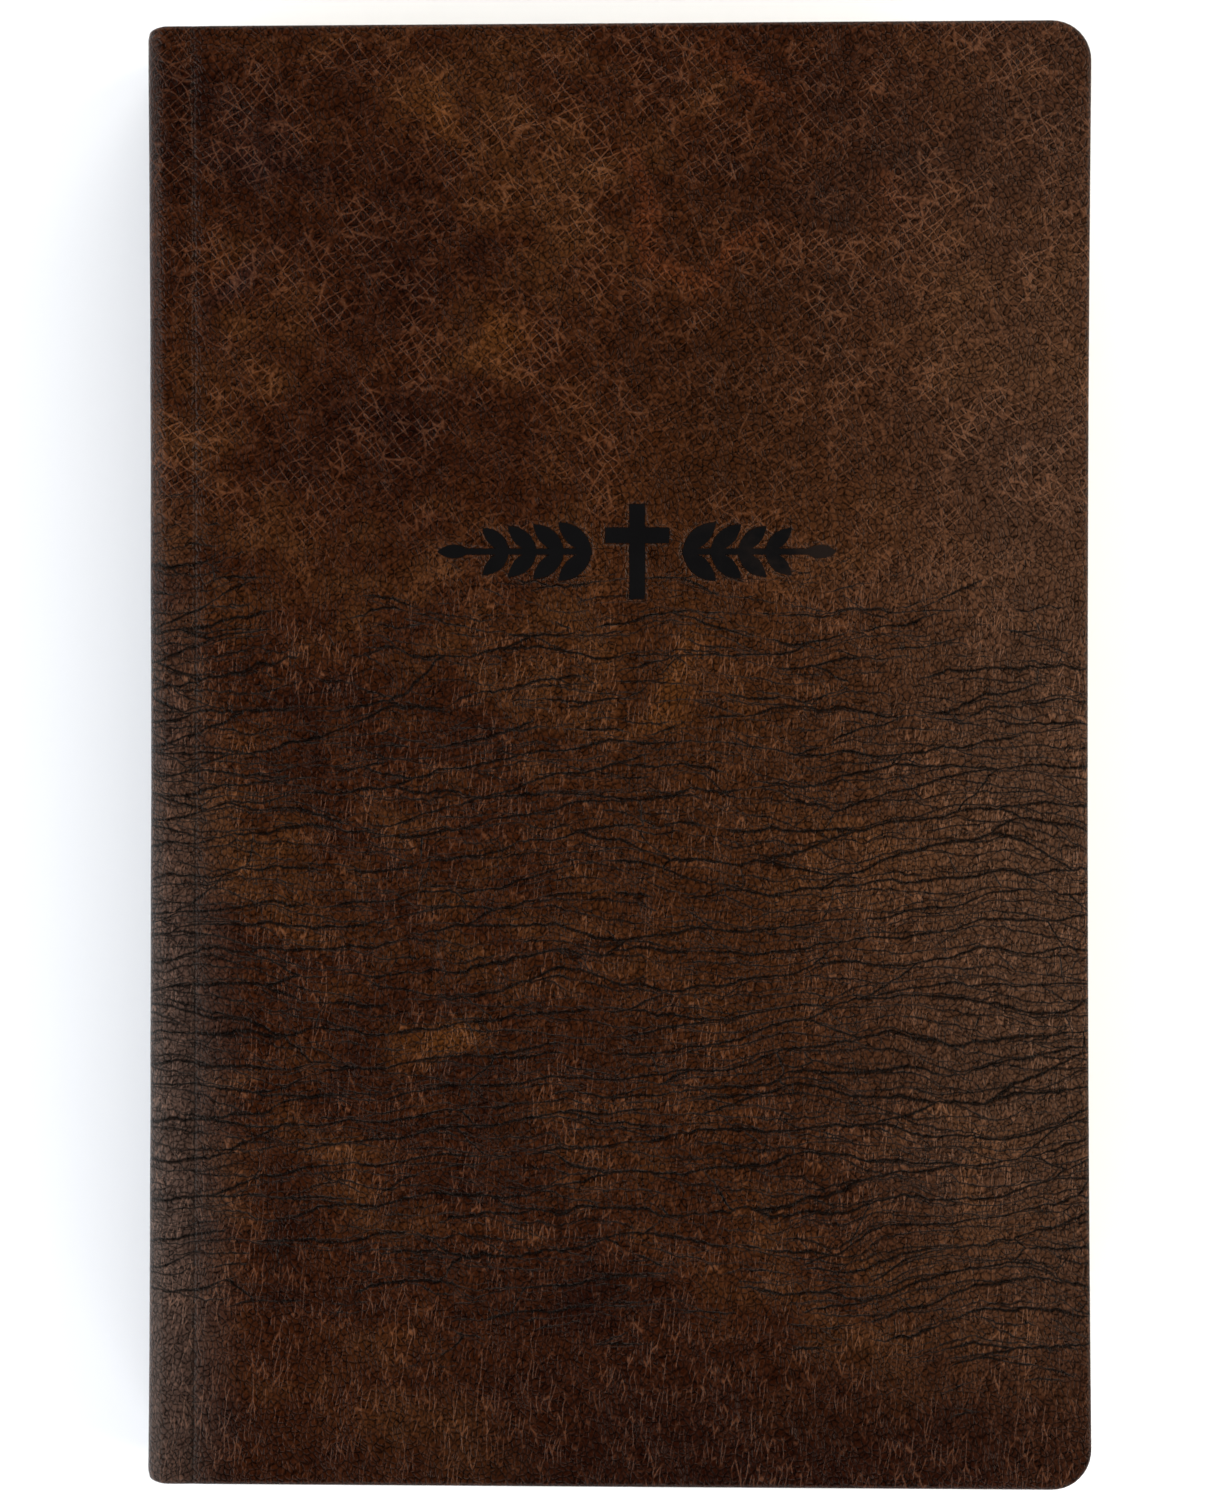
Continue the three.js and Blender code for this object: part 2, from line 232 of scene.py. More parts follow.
def rest_coordinates(n):
    return n.scale(n.make("TexCoord").outputs["Object"], 1 / MM)


def flat_coordinates(n):
    """The coordinates that a piece had when it was made, kept in its rest attribute."""
    return n.make("Attribute", attribute_name="rest").outputs["Vector"]


# ---- leather ----
DARK = (0.0100, 0.0016, 0.0004)
BROWN = (0.0215, 0.0048, 0.0010)
WARM = (0.042, 0.0135, 0.0034)
ORANGE = (0.078, 0.0250, 0.0045)
RED = (0.072, 0.0165, 0.0045)
PLUM = (0.0165, 0.0062, 0.0050)
# a painted sheen, also laid on the wrinkle ridges as a painted highlight
PAINTED_SHEEN = (0.058, 0.0275, 0.0145)
# a cool painted reflection of the light along the spine edge
PAINTED_COOL_SHEEN = (0.050, 0.0320, 0.0250)

# Broad washes: painted sheen on the right half, a cool painted sheen by the spine edge, a warmer dye tone
# in the middle, and darker towards the tail. Each gives centre, half sizes, turn in degrees, colour,
# strength.
SHADES = (
    ((74, 10), (66, 170), 0, PAINTED_SHEEN, 0.55),
    ((76, -30), (58, 80), 0, PAINTED_SHEEN, 0.50),
    ((20, 10), (44, 110), 0, WARM, 0.45),
    ((22, -110), (92, 36), 0, DARK, 0.95),
    ((-74, -60), (21, 125), 0, PAINTED_COOL_SHEEN, 1.0),
)

# Cloudy patches of the dye, given the same way.
PATCHES = (
    ((-58, -60), (9, 44), 0, WARM, 0.60),
    ((-45, 5), (14, 30), -8, DARK, 0.65),
    ((-24, -58), (24, 30), 12, DARK, 0.75),
    ((24, -78), (22, 10), -10, DARK, 0.55),
    ((-57, 78), (11, 24), 0, PLUM, 0.60),
    ((-8, 72), (12, 6), 8, DARK, 0.75),
    ((-35, 45), (26, 14), 10, DARK, 0.45),
    ((41, 26), (26, 9), 0, PLUM, 0.40),
    ((11, 84), (15, 30), -15, RED, 0.80),
    ((-28, 92), (9, 7), 0, ORANGE, 0.45),
    ((-20, 62), (18, 7), 5, ORANGE, 0.42),
    ((40, 88), (16, 12), 25, RED, 0.60),
    ((21, 59), (15, 9), -15, ORANGE, 0.45),
    ((9, 8), (13, 22), 10, ORANGE, 0.62),
    ((37, -12), (20, 13), 15, ORANGE, 0.50),
    ((52, -58), (24, 26), 0, ORANGE, 0.50),
    ((-27, -41), (11, 9), 0, ORANGE, 0.50),
)

# Where creases crowd: centre, half sizes, strength.
CREASED = (
    ((50, -38), (62, 68), 1.0),
    ((-66, -25), (30, 76), 0.9),
    ((-14, -36), (84, 66), 0.72),
    ((10, 6), (96, 30), 0.6),
)


def spot(n, vector, at, size, turn=0.0, core=0.15):
    """1 in the middle of an oval and 0 outside it."""
    away = n.vector("LENGTH", n.cells(vector, size, turn, at), (0, 0, 0), 1)
    return n.step(away, 1.0, core)


def crease_lines(n, at, length, pitch, turn, half_width, keep):
    """Long thin lines that run across and branch; keep, from 0 to 1, thins them out and tapers their ends."""
    ahead = 0.06
    lined = n.cells(at, (length, pitch), turn)
    here = n.edges(lined)
    there = n.edges(n.vector("ADD", lined, (0, ahead / pitch, 0)))
    slope = n.math("MAXIMUM", n.math("ABSOLUTE", n.less(there, here)), 0.001)
    away = n.math("DIVIDE", n.times(here, ahead), slope)
    width = n.times(keep, half_width)
    room = n.math("MAXIMUM", width, 0.03)
    return n.math("DIVIDE", n.less(width, away), n.times(room, 0.8), clamp=True)


def dye_and_sheen(n, flat, cloudy):
    """The mottled brown of the leather's dye, with broad washes of painted sheen laid over it."""
    tone = n.add(
        n.times(n.noise(n.cells(cloudy, (44, 34)), 2, 0.45), 0.6),
        n.times(n.noise(n.cells(flat, (9, 6)), 4, 0.5), 0.4),
    )
    color = n.ramp(tone, ((0.30, DARK), (0.5, BROWN), (0.70, WARM)))
    ragged = n.step(n.noise(n.cells(flat, (7, 6)), 3, 0.6), 0.3, 0.62, 0.7, 1.0)
    for at, size, turn, tint, strength in PATCHES:
        mask = n.times(spot(n, cloudy, at, size, turn), n.times(ragged, strength))
        color = n.mix(mask, color, tint)
    # the broad washes: painted sheen, a warmer middle and a darker tail over the dye
    for at, size, turn, tint, strength in SHADES:
        color = n.mix(n.times(spot(n, flat, at, size, turn), strength), color, tint)
    return color


def creases(n, flat):
    """Long creases over the lower two thirds, thickest by the fore edge and the spine."""
    crowd = 0.0
    for at, size, strength in CREASED:
        crowd = n.math("MAXIMUM", crowd, n.times(spot(n, flat, at, size, core=0.5), strength))
    broken = n.noise(n.cells(flat, (13, 3.2), 4), 2, 0.55)
    also = n.noise(n.cells(flat, (10, 2.6), -3, (40, 7)), 2, 0.55)
    gate = n.add(n.times(crowd, 1.1), n.times(n.less(broken, 0.5), 2.2))
    gate = n.times(gate, n.step(crowd, 0.0, 0.25))
    gate_too = n.add(n.times(crowd, 0.9), n.times(n.less(also, 0.5), 2.2))
    gate_too = n.times(gate_too, n.step(crowd, 0.1, 0.5))
    bent = n.warp(n.warp(flat, 34, 5), 5, 0.8)
    bent = n.warp(bent, 1.3, 0.2)
    main = crease_lines(n, bent, 30, 4.2, 5, 0.34, n.step(gate, 0.25, 0.85))
    cross = crease_lines(n, bent, 17, 2.4, -3, 0.22, n.step(gate_too, 0.3, 0.85))
    small = crease_lines(n, bent, 9, 1.5, 2, 0.13, n.step(gate, 0.35, 0.9))
    crease = n.math("MAXIMUM", main, n.times(cross, 0.9))
    return n.math("MAXIMUM", crease, n.times(small, 0.6))


def wrinkles(n, flat, y):
    """A net of thin wrinkles whose ridges get a painted highlight: long diagonals near the head, short
    uprights lower down.
    """
    above = n.step(y, 10, 48)
    weave = n.step(n.noise(n.cells(flat, (13, 17)), 3, 0.6), 0.42, 0.6)
    easy = n.warp(flat, 3.5, 0.45)
    one_way = n.edges(n.cells(easy, (1.3, 6.5), -52))
    other_way = n.edges(n.cells(easy, (1.5, 7.5), 38))
    patchy = n.step(n.noise(n.cells(flat, (4.5, 4.5)), 2), 0.3, 0.6, 0.35, 1.0)
    diagonal = n.times(n.step(n.math("MINIMUM", one_way, other_way), 0.09, 0.0), patchy)
    upright = n.step(n.edges(n.cells(easy, (0.75, 4.6), -7)), 0.12, 0.0)
    upright = n.times(upright, n.step(n.noise(n.cells(flat, (1.3, 3.6)), 1), 0.38, 0.6))
    net = n.math(
        "MAXIMUM",
        n.times(diagonal, n.add(n.times(above, 0.5), 0.3)),
        n.times(upright, n.step(above, 1.0, 0.0, 0.2, 0.9)),
    )
    return n.times(net, n.add(n.times(weave, 0.45), 0.5))


def joint_groove_shade(n, x, y):
    """Painted shade along the groove pressed beside the spine: a thin dark line and a broader darkening,
    clearest in the lower half.
    """
    offset = n.less(x, JOINT_X)
    squared = n.times(offset, offset)
    line = n.math("POWER", 2.718, n.times(squared, -1 / 0.22**2))
    shade = n.math("POWER", 2.718, n.times(squared, -1 / 1.3**2))
    lower = n.step(y, 60, -20, 0.35, 1.0)
    return n.times(n.add(n.times(line, 0.42), n.times(shade, 0.18)), lower)


def leather(n):
    n.dimensions = "2D"
    flat = n.make("Attribute", attribute_name="hide").outputs["Vector"]
    x, y = n.parts(flat)[:2]
    cloudy = n.warp(flat, 34, 7)
    wavy = n.warp(n.warp(flat, 8, 1.3), 1.2, 0.2)
    color = dye_and_sheen(n, flat, cloudy)
    crease = creases(n, flat)
    net = n.times(wrinkles(n, flat, y), n.less(1.0, crease))
    pebble = n.step(n.edges(n.cells(wavy, (0.72, 0.92), 12)), 0.02, 0.3)
    coarse = n.noise(n.cells(flat, (1.5, 2.2)), 3, 0.65)
    speck = n.noise(n.cells(flat, (0.22, 0.28)), 2, 0.6)

    # light multiplies the colour: painted shade in the grain's valleys, and grain tone from the bump noises,
    # lighter where they rise as painted light
    light = n.add(n.times(pebble, 0.75), 0.30)
    light = n.add(light, n.times(n.less(coarse, 0.5), 0.9))
    light = n.add(light, n.times(n.less(speck, 0.5), 1.4))
    # painted highlight along the wrinkle ridges
    light = n.math("MAXIMUM", n.add(light, n.times(net, 2.0)), 0.12)
    # the creases darken: partly their own darker colour, partly painted shade in the folds
    light = n.times(light, n.less(1.0, n.times(crease, 0.95)))
    # painted shade along the joint groove
    light = n.times(light, n.less(1.0, joint_groove_shade(n, x, y)))
    # the wrinkle ridges also take the painted sheen colour
    color = n.mix(n.times(net, 0.35), color, PAINTED_SHEEN)
    color = n.mix(1.0, color, n.grey(light), "MULTIPLY")

    roughness = n.add(0.30, n.times(n.less(coarse, 0.5), 0.3))
    roughness = n.less(roughness, n.times(net, 0.06))

    height = n.times(pebble, 0.045)
    height = n.add(height, n.times(coarse, 0.08))
    height = n.add(height, n.times(speck, 0.02))
    height = n.add(height, n.times(net, 0.045))
    height = n.less(height, n.times(crease, 0.05))
    return color, roughness, height


def foil(n):
    """Black foil, a little worn towards the fore edge."""
    at = rest_coordinates(n)
    worn = n.noise(n.cells(at, (9, 7)), 4, 0.6)
    grain = n.edges(n.cells(n.warp(at, 1.3, 0.28), (0.72, 0.92), 12))
    across = n.step(n.parts(at)[0], 5, 34, 0.0, 0.8)
    thin = n.times(n.step(worn, 0.42, 0.62), across)
    color = n.mix(thin, (0.0022, 0.0020, 0.0021, 1), (0.0105, 0.0062, 0.0044, 1))
    roughness = n.add(0.22, n.times(worn, 0.16))
    return color, roughness, n.times(n.step(grain, 0.02, 0.3), 0.012)


WARM_SHEEN = (1.0, 0.84, 0.70)
leather_look = material("brown_leather", leather, Specular_IOR_Level=0.10, Specular_Tint=WARM_SHEEN)
foil_look = material("pressed_black_foil", foil, Specular_IOR_Level=0.2)


# ---- plain materials for what the leather covers ----
def fibres(color, spread, size, roughness=0.85, bump=0.01, bends=False):
    """Paper, card or glue: a cloudy colour with fine flecks. bends is for pieces with a rest attribute."""

    def build(n):
        at = flat_coordinates(n) if bends else rest_coordinates(n)
        cloud = n.noise(n.cells(at, (size * 9, size * 9, size * 9)), 4, 0.6)
        fleck = n.noise(n.cells(at, (size, size * 2.2, size)), 3, 0.7)
        tone = n.add(n.times(n.less(cloud, 0.5), spread), n.times(n.less(fleck, 0.5), spread))
        shade = n.grey(n.add(1.0, tone))
        return n.mix(1.0, (*color, 1), shade, "MULTIPLY"), roughness, n.times(fleck, bump)

    return build


def page(n):
    """Thin page paper whose cut edges show as fine lines."""
    at = flat_coordinates(n)
    face = n.math("ABSOLUTE", n.parts(n.make("TexCoord").outputs["Normal"])[2])
    leaf = n.noise(n.cells(at, (45, 45, 0.11)), 3, 0.75)
    coarse = n.noise(n.cells(at, (30, 30, 0.5)), 2, 0.6)
    cloud = n.noise(n.cells(at, (12, 16, 3)), 4, 0.55)
    lines = n.add(n.times(n.step(leaf, 0.34, 0.6), 0.42), n.times(n.step(coarse, 0.3, 0.7), 0.2))
    edge = n.times(n.less(0.62, lines), n.less(1.0, face))
    shade = n.less(n.add(1.0, n.times(n.less(cloud, 0.5), 0.12)), n.times(edge, 0.62))
    color = n.mix(1.0, (0.60, 0.54, 0.425, 1), n.grey(shade), "MULTIPLY")
    return color, 0.8, n.times(leaf, 0.03)


def printed(n):
    """A page with two blurred columns of grey lines that stand for text and can't be read."""
    at = flat_coordinates(n)
    x, y = n.parts(at)[:2]
    middle = (SPINE_X + LEAF_FORE_X) / 2 + 2
    across = n.math("ABSOLUTE", n.less(x, middle))
    column = n.times(n.step(across, 2.2, 2.8), n.step(across, 54, 53.4))
    body = n.step(n.math("ABSOLUTE", n.add(y, 2)), 92, 91.5)
    row = n.math("FRACT", n.math("DIVIDE", y, 2.9))
    line = n.times(n.step(row, 0.2, 0.34), n.step(row, 0.8, 0.66))
    words = n.step(n.noise(n.cells(at, (1.7, 2.9)), 2, 0.6), 0.40, 0.47)
    letters = n.step(n.noise(n.cells(at, (0.35, 0.5)), 2, 0.6), 0.36, 0.6, 0.4, 1.0)
    ink = n.times(n.times(n.times(line, words), n.times(column, body)), n.times(letters, 0.62))
    cloud = n.noise(n.cells(at, (14, 18)), 4, 0.55)
    paper = n.grey(n.add(1.0, n.times(n.less(cloud, 0.5), 0.12)))
    color = n.mix(1.0, (0.61, 0.55, 0.435, 1), paper, "MULTIPLY")
    color = n.mix(ink, color, (0.045, 0.042, 0.045, 1))
    return color, 0.8, n.times(n.noise(n.cells(at, (0.5, 0.5)), 2, 0.6), 0.01)


def threads(color, pitch, gap=0.0):
    """A plain weave of threads that run along X and Y on the flats and along Y and Z on the spine."""

    def build(n):
        at = rest_coordinates(n)
        x, y, z = n.parts(at)[:3]
        along = n.add(x, z)
        turns = 2 * math.pi / pitch
        warp = n.math("ABSOLUTE", n.math("SINE", n.times(along, turns / 2)))
        weft = n.math("ABSOLUTE", n.math("SINE", n.times(y, turns / 2)))
        height = n.math("MAXIMUM", warp, weft)
        fuzz = n.noise(n.cells(at, (0.3, 0.3, 0.3)), 3, 0.7)
        shade = n.add(n.times(height, 0.5 + gap), n.add(0.32, n.times(fuzz, 0.35)))
        color_out = n.mix(1.0, (*color, 1), n.grey(shade), "MULTIPLY")
        return color_out, 0.92, n.times(height, 0.08)

    return build


def striped(n):
    """Headband cloth: narrow stripes of dark red and cream across the bead."""
    at = rest_coordinates(n)
    z = n.parts(n.warp(at, 2.0, 0.05))[2]
    turn = n.math("SINE", n.times(z, 2 * math.pi / 1.5))
    stripe = n.step(turn, -0.15, 0.15)
    rib = n.math("ABSOLUTE", n.math("SINE", n.times(z, math.pi / 0.25)))
    fuzz = n.noise(n.cells(at, (0.25, 0.25, 0.25)), 3, 0.7)
    color = n.mix(stripe, (0.20, 0.022, 0.018, 1), (0.62, 0.55, 0.42, 1))
    shade = n.add(n.times(rib, 0.3), n.add(0.55, n.times(fuzz, 0.3)))
    return n.mix(1.0, color, n.grey(shade), "MULTIPLY"), 0.75, n.times(rib, 0.06)


page_look = material("page_paper", page, Specular_IOR_Level=0.25)
printed_look = material("printed_page", printed, Specular_IOR_Level=0.25)
cream = fibres((0.64, 0.575, 0.455), 0.10, 0.4, bends=True)
endpaper_look = material("cream_endpaper", cream, Specular_IOR_Level=0.25)
card_look = material("grey_card", fibres((0.28, 0.24, 0.17), 0.35, 0.5, 0.92, 0.03))
lining_look = material("kraft_paper", fibres((0.40, 0.28, 0.15), 0.25, 0.4, 0.9, 0.02))
glue_look = material("dried_glue", fibres((0.62, 0.52, 0.30), 0.22, 0.8, 0.38, 0.06))
mull_look = material("mull_cloth", threads((0.72, 0.68, 0.58), 1.1, 0.2))
linen_look = material("linen_thread", threads((0.66, 0.58, 0.44), 0.35))
band_look = material("striped_band_cloth", striped)


# ---- meshes ----
def piece(name, points, faces, look, slot, sharp=38, **attributes):
    """A mesh object from points in millimetres, with its point attributes."""
    points = np.asarray(points, float)
    used = np.unique(np.concatenate([np.asarray(f) for f in faces]))
    renumber = np.full(len(points), -1)
    renumber[used] = np.arange(len(used))
    faces = [tuple(int(renumber[i]) for i in f) for f in faces]
    mesh = bpy.data.meshes.new(name)
    mesh.from_pydata((points[used] * MM).tolist(), [], faces)
    for key, values in attributes.items():
        values = np.asarray(values, np.float32)[used]
        kind, field = ("FLOAT_VECTOR", "vector") if values.ndim == 2 else ("FLOAT", "value")
        mesh.attributes.new(key, kind, "POINT").data.foreach_set(field, values.ravel())
    mesh.shade_smooth()
    mesh.set_sharp_from_angle(angle=math.radians(sharp))
    mesh.update()
    made = bpy.data.objects.new(name, mesh)
    bpy.context.scene.collection.objects.link(made)
    made.data.materials.append(look)
    return made


def spaced(*stops):
    """Places from each stop to the next: (from, to, step), joined."""
    runs = [np.linspace(a, b, max(int(math.ceil(abs(b - a) / gap)), 1) + 1) for a, b, gap in stops]
    return np.concatenate([runs[0]] + [run[1:] for run in runs[1:]])


def waves(count, longest, shortest):
    """A gentle sum of ripples over the flat leather, from 0 to about 1."""
    length = np.exp(random.uniform(math.log(shortest), math.log(longest), count))
    angle = random.uniform(0, math.pi, count)
    phase = random.uniform(0, 2 * math.pi, count)
    weight = length / length.sum()

    def at(s, q):
        total = np.zeros_like(s)
        for size, turn, start, share in zip(length, angle, phase, weight):
            along = s * math.cos(turn) + q * math.sin(turn)
            total += share * np.cos(2 * math.pi * along / size + start)
        return 0.5 + 0.5 * np.clip(total * 1.6, -1, 1)

    return at


ripple = waves(14, 70, 14)


def press_outlines():
    """Line segments round the top faces of the emblem's foil."""
    found = []
    for name in sorted(nodes):
        if not name.startswith("emblem_"):
            continue
        mesh = nodes[name].data
        seen = {}
        for face in mesh.polygons:
            if face.normal.z < 0.9:
                continue
            ring = [tuple(round(c / MM, 4) for c in mesh.vertices[i].co[:2]) for i in face.vertices]
            for a, b in zip(ring, ring[1:] + ring[:1]):
                seen[(a, b)] = seen.get((a, b), 0) + 1
        found += [(a, b) for (a, b) in seen if (b, a) not in seen]
    return np.array(found)


OUTLINES = press_outlines()


def press_distance(s, q):
    """Distance to the foil's outline, negative inside it."""
    away = np.full(s.shape, 9.0)
    margin = 3
    near = (s > press_low[0] - margin) & (s < press_high[0] + margin)
    near &= (q > press_low[1] - margin) & (q < press_high[1] + margin)
    p = np.stack([s[near], q[near]], 1)
    a, b = OUTLINES[:, 0], OUTLINES[:, 1]
    d = b - a
    rel = p[:, None] - a[None]
    t = np.clip((rel * d).sum(2) / (d * d).sum(1), 0, 1)
    gap = np.linalg.norm(rel - t[..., None] * d, axis=2).min(1)
    spans = (a[:, 1] > p[:, None, 1]) != (b[:, 1] > p[:, None, 1])
    rise = np.where(d[:, 1] == 0, 1e-9, d[:, 1])
    cross = a[:, 0] + (p[:, None, 1] - a[:, 1]) * d[:, 0] / rise
    inside = (spans & (p[:, None, 0] < cross)).sum(1) % 2 == 1
    away[near] = np.where(inside, -gap, gap)
    return away


def smooth(value, start, end):
    t = np.clip((value - start) / (end - start), 0, 1)
    return t * t * (3 - 2 * t)


def section(s):
    """Point and outward normal of the cover's outer face, by distance s along its section."""
    angle = np.clip((SHOULDER_X - s) / SHOULDER, 0, math.pi / 2)
    x = np.where(s > SHOULDER_X, s, SHOULDER_X - SHOULDER * np.sin(angle))
    z = TOP_Z - SHOULDER * (1 - np.cos(angle))
    nx, nz = -np.sin(angle), np.cos(angle)
    down = TOP_Z - SHOULDER - (SHOULDER_S - s)
    spine = s < SHOULDER_S
    slope = 2 * SPINE_ROUND * (down - MIDDLE_Z) / MIDDLE_Z**2
    length = np.sqrt(1 + slope**2)
    x = np.where(spine, SPINE_X + SPINE_ROUND * ((down - MIDDLE_Z) / MIDDLE_Z) ** 2, x)
    z = np.where(spine, down, z)
    nx = np.where(spine, -1 / length, nx)
    nz = np.where(spine, slope / length, nz)
    return x, z, nx, nz


def joint_groove(s):
    d = s - JOINT_X
    return 0.12 * np.exp(-((d / 0.25) ** 2)) + 0.25 * np.exp(-((d / 1.2) ** 2))


def soft_ripple(s, q):
    """Slight waves that die out at the joint."""
    return 0.1 * ripple(s, q) * smooth(np.abs(s - JOINT_X), 0, 6)


def cover_relief(s, q):
    """How far the outer face of a cover lies below its plain surface."""
    return joint_groove(s) + soft_ripple(s, q)


def front_relief(s, q):
    """The same, with the pressed emblem and the low rim raised round it."""
    away = press_distance(s, q)
    calm = smooth(away, 0.5, 6)
    rim = 0.03 * np.exp(-(((away - 0.75) / 0.3) ** 2))
    pressed = PRESSED * (1 - smooth(away, -0.1, 0.5)) - rim
    return joint_groove(s) + pressed + soft_ripple(s, q) * calm


def spine_relief(s, q):
    return 0.06 * ripple(s, q)


def leather_points(base, outward, reach, inner, relief):
    """Places of the leather. base and outward are flat; reach is how far a point is past the last row."""
    turn = np.clip((reach - FLAT) / EDGE_RADIUS, 0, math.pi)
    thick = inner * (SKIN + (TURN_IN - SKIN) * turn / math.pi)
    past = np.maximum(reach - FLAT - math.pi * EDGE_RADIUS, 0)
    radial = np.minimum(reach, FLAT) + (EDGE_RADIUS - thick) * np.sin(turn) - past
    depth = EDGE_RADIUS - (EDGE_RADIUS - thick) * np.cos(turn)
    hide = base + outward * reach[:, None]
    if not inner:
        depth = depth + relief(hide[:, 0], hide[:, 1]) * (1 + np.cos(turn)) / 2
    s, y = (base + outward * radial[:, None]).T
    x, z, nx, nz = section(s)
    x, z = x - nx * depth, z - nz * depth
    over = np.clip(np.abs(y) - (HEAD_Y - SPINE_CORNER), 0, SPINE_CORNER)
    x = x + (SPINE_CORNER - np.sqrt(SPINE_CORNER**2 - over**2)) * np.abs(nx)
    side = np.where(x < 0, BOW[0] * x / SPINE_X, -BOW[1] * x / FORE_X)
    flare = y * FLARE * x / FORE_X
    x = x + side * (1 - (y / HEAD_Y) ** 2)
    return np.stack([x, y + flare, z], 1), hide, radial


def leather_sheet(name, columns, rows, fore, relief, coarse_from=None, mirror=False):
    """A skin with its edges turned in: a flat grid, and a band that rolls over each free edge."""
    ns, nq = len(columns), len(rows)
    grid = np.stack(np.meshgrid(columns, rows, indexing="ij"), -1).reshape(-1, 2)
    rolls = np.linspace(0, math.pi, 10)[1:] * EDGE_RADIUS + FLAT
    beyond = rolls[-1] + spaced((0, TURN_IN_REACH, 2.4))[1:]
    reach = np.concatenate([spaced((0, FLAT, 1.1))[1:], rolls, beyond])
    nr = len(reach)

    head = [((s, rows[-1]), (0, 1), i * nq + nq - 1) for i, s in enumerate(columns)]
    tail = [((s, rows[0]), (0, -1), i * nq) for i, s in enumerate(columns)][::-1]
    paths = [head, tail]
    if fore:
        arc = [math.radians(a) for a in np.linspace(90, 0, 11)[1:-1]]
        top, low = (columns[-1], rows[-1]), (columns[-1], rows[0])
        turn = [(top, (math.cos(a), math.sin(a)), (ns - 1) * nq + nq - 1) for a in arc]
        back = [(low, (math.cos(a), -math.sin(a)), (ns - 1) * nq) for a in arc[::-1]]
        side = [((columns[-1], q), (1, 0), (ns - 1) * nq + j) for j, q in enumerate(rows)][::-1]
        paths = [head + turn + side + back + tail]
    base, outward, distance = [grid], [np.zeros_like(grid)], [np.zeros(len(grid))]
    faces, count = [], len(grid)
    for i in range(ns - 1):
        for j in range(nq - 1):
            a = i * nq + j
            faces.append((a, a + nq, a + nq + 1, a + 1))
    rounded = set()
    for path in paths:
        ring = []
        for at, out, shared in path:
            ring.append([shared, *range(count, count + nr)])
            base.append(np.tile(at, (nr, 1)))
            outward.append(np.tile(out, (nr, 1)))
            distance.append(reach)
            if 0 < abs(out[0]) < 1:
                rounded.update(range(count, count + nr))
            count += nr
        for one, two in zip(ring, ring[1:]):
            for m in range(nr):
                quad = [one[m], two[m], two[m + 1], one[m + 1]]
                faces.append(tuple(dict.fromkeys(quad)))
    base, outward, distance = np.concatenate(base), np.concatenate(outward), np.concatenate(distance)

    outer, hide, radial = leather_points(base, outward, distance, 0, relief)
    inner = leather_points(base, outward, distance, 1, relief)[0]
    # where the turned-in edges meet in a corner, the surplus is cut away
    lost = {i for i in rounded if radial[i] < 0.4 and distance[i] > FLAT}
    faces = [f for f in faces if not lost.intersection(f)]
    directed = dict.fromkeys((a, b) for f in faces for a, b in zip(f, f[1:] + f[:1]))
    rim = [(a, b) for (a, b) in directed if (b, a) not in directed]

    # on the hidden side, past coarse_from, one long face per row is enough
    under = faces
    if coarse_from is not None:
        first = int(np.searchsorted(columns, coarse_from))
        under = [f for f in faces if not all(i < len(grid) and i // nq >= first for i in f)]
        left, right = first * nq, (ns - 1) * nq
        under += [(left + j, right + j, right + j + 1, left + j + 1) for j in range(1, nq - 2)]
        half = (first + ns) // 2
        for edge, near in ((0, 1), (nq - 1, nq - 2)):
            fan = []
            for i in range(first, ns - 1):
                anchor = (left if i < half else right) + near
                fan.append((i * nq + edge, (i + 1) * nq + edge, anchor))
            fan.append((half * nq + edge, right + near, left + near))
            under += fan if edge == 0 else [f[::-1] for f in fan]
    total = len(outer)
    solid = faces + [tuple(i + total for i in f[::-1]) for f in under]
    solid += [(b, a, a + total, b + total) for a, b in rim]
    points = np.concatenate([outer, inner])
    coordinates = np.concatenate([hide, hide])
    if mirror:
        points[:, 2] = TOP_Z - points[:, 2]
        coordinates[:, 0] = 2 * MIDDLE_S - coordinates[:, 0]
        solid = [f[::-1] for f in solid]
    coordinates = np.column_stack([coordinates, np.zeros(len(coordinates))])
    return piece(name, points, solid, leather_look, "leather", hide=coordinates)


def leaf_corner(fore):
    """Columns that follow a leaf's rounded corner up to its fore edge."""
    return [fore - LEAF_CORNER * (1 - math.sin(a)) for a in np.linspace(0, math.pi / 2, 9)]


def thin_sheet(name, z_low, z_high, columns, y_half, corner, look, slot, rows=8):
    """A leaf of paper: flat, square at the spine and round at its two fore-edge corners."""
    columns = np.asarray(columns, float)
    into = np.clip(columns - (columns[-1] - corner), 0, corner)
    half = y_half - corner + np.sqrt(corner**2 - into**2)
    spread = np.linspace(-1, 1, rows + 1)
    points, faces = [], []
    for x, h in zip(columns, half):
        points += [(x, v * h, z_low) for v in spread] + [(x, v * h, z_high) for v in spread]
    wide = rows + 1
    for i in range(len(columns) - 1):
        a, b = i * 2 * wide, (i + 1) * 2 * wide
        for j in range(rows):
            faces.append((a + j, a + j + 1, b + j + 1, b + j))
            faces.append((a + wide + j, b + wide + j, b + wide + j + 1, a + wide + j + 1))
        faces.append((a, b, b + wide, a + wide))
        faces.append((a + rows, a + wide + rows, b + wide + rows, b + rows))
    last = (len(columns) - 1) * 2 * wide
    for j in range(rows):
        faces.append((j, j + wide, j + wide + 1, j + 1))
        faces.append((last + j, last + j + 1, last + wide + j + 1, last + wide + j))
    return piece(name, points, faces, look, slot, sharp=30, rest=points)


